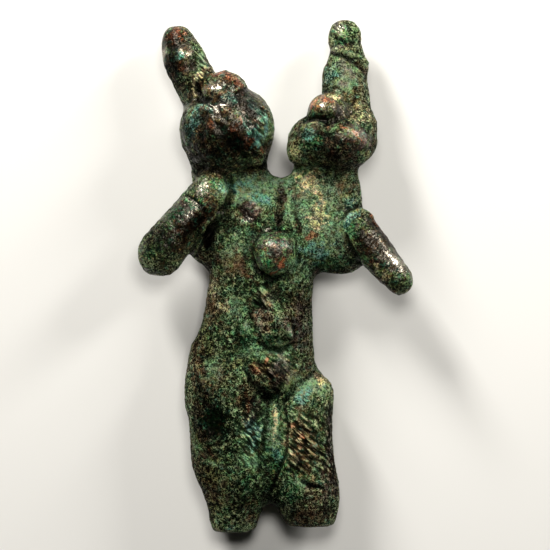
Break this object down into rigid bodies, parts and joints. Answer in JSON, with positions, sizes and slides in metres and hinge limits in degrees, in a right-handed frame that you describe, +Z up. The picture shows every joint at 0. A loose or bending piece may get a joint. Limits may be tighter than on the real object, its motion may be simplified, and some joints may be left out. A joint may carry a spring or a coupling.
{
  "type": "bronze statuette",
  "caption": "Small solid-cast bronze figure with two heads in tall headdresses, arm stumps and broken thighs, corroded green, lying on its back.",
  "frame": {"origin": "centre of the bounding box in plan, on the surface that the figure lies on", "axes": "+X to the viewer's right when the chest is seen, +Y from the thighs to the heads, +Z up out of the chest"},
  "size_m": [0.0415, 0.0775, 0.0144],
  "materials": {
    "bronze": "corroded bronze: matt green and dark brown patina, polished on the high spots"
  },
  "bodies": {
    "root": {"statuette": "bronze"}
  },
  "joints": []
}
